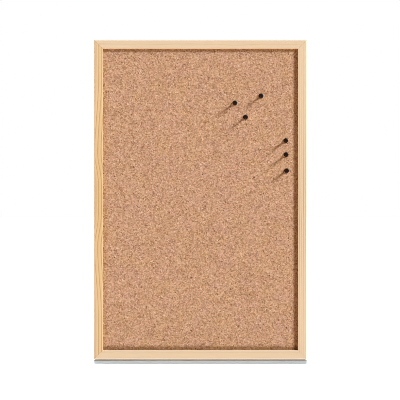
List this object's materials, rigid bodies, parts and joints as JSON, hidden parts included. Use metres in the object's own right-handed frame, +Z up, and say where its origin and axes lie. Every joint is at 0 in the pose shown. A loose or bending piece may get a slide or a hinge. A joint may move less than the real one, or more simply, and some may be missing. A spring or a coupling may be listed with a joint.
{
  "type": "cork pinboard",
  "caption": "Upright cork pinboard in a mitred pine frame, on a softboard core and hardboard back, with toothed wall hangers and black push pins that pull out of the cork.",
  "frame": {"origin": "in the plane of the rails' backs, at the middle notch of the top hanger, where the wall nail carries the board", "axes": "+X to the right as seen from the front, +Y from the front towards the wall, +Z up"},
  "size_m": [0.4, 0.0327, 0.6],
  "materials": {
    "pine": "satin",
    "cork": "matte",
    "softboard": "matte",
    "hardboard": "matte",
    "fixing_steel": "satin",
    "hanger_steel": "satin",
    "black_plastic": "gloss",
    "needle_steel": "polished"
  },
  "bodies": {
    "board": {"rail_top": "pine", "rail_right": "pine", "rail_bottom": "pine", "rail_left": "pine", "cork_sheet": "cork", "softboard_core": "softboard", "hardboard_back": "hardboard", "corner_nail_top_right_1": "fixing_steel", "corner_nail_top_right_2": "fixing_steel", "corner_nail_bottom_right_1": "fixing_steel", "corner_nail_bottom_right_2": "fixing_steel", "corner_nail_bottom_left_1": "fixing_steel", "corner_nail_bottom_left_2": "fixing_steel", "corner_nail_top_left_1": "fixing_steel", "corner_nail_top_left_2": "fixing_steel", "point_top_1": "fixing_steel", "point_top_2": "fixing_steel", "point_right_1": "fixing_steel", "point_right_2": "fixing_steel", "point_right_3": "fixing_steel", "point_right_4": "fixing_steel", "point_bottom_1": "fixing_steel", "point_bottom_2": "fixing_steel", "point_left_1": "fixing_steel", "point_left_2": "fixing_steel", "point_left_3": "fixing_steel", "point_left_4": "fixing_steel", "hanger_top": "hanger_steel", "hanger_top_nail_1": "fixing_steel", "hanger_top_nail_2": "fixing_steel", "hanger_left": "hanger_steel", "hanger_left_nail_1": "fixing_steel", "hanger_left_nail_2": "fixing_steel"},
    "pin_1": {"pin_1_handle": "black_plastic", "pin_1_needle": "needle_steel"},
    "pin_2": {"pin_2_handle": "black_plastic", "pin_2_needle": "needle_steel"},
    "pin_3": {"pin_3_handle": "black_plastic", "pin_3_needle": "needle_steel"},
    "pin_4": {"pin_4_handle": "black_plastic", "pin_4_needle": "needle_steel"},
    "pin_5": {"pin_5_handle": "black_plastic", "pin_5_needle": "needle_steel"},
    "pin_6": {"pin_6_handle": "black_plastic", "pin_6_needle": "needle_steel"}
  },
  "joints": [
    {"name": "pin_1_pull", "type": "slide", "parent": "board", "child": "pin_1", "axis": [0, -1, 0], "range_m": [0, 0.011]},
    {"name": "pin_2_pull", "type": "slide", "parent": "board", "child": "pin_2", "axis": [0, -1, 0], "range_m": [0, 0.011]},
    {"name": "pin_3_pull", "type": "slide", "parent": "board", "child": "pin_3", "axis": [0, -1, 0], "range_m": [0, 0.011]},
    {"name": "pin_4_pull", "type": "slide", "parent": "board", "child": "pin_4", "axis": [0, -1, 0], "range_m": [0, 0.011]},
    {"name": "pin_5_pull", "type": "slide", "parent": "board", "child": "pin_5", "axis": [0, -1, 0], "range_m": [0, 0.011]},
    {"name": "pin_6_pull", "type": "slide", "parent": "board", "child": "pin_6", "axis": [0, -1, 0], "range_m": [0, 0.011]}
  ]
}
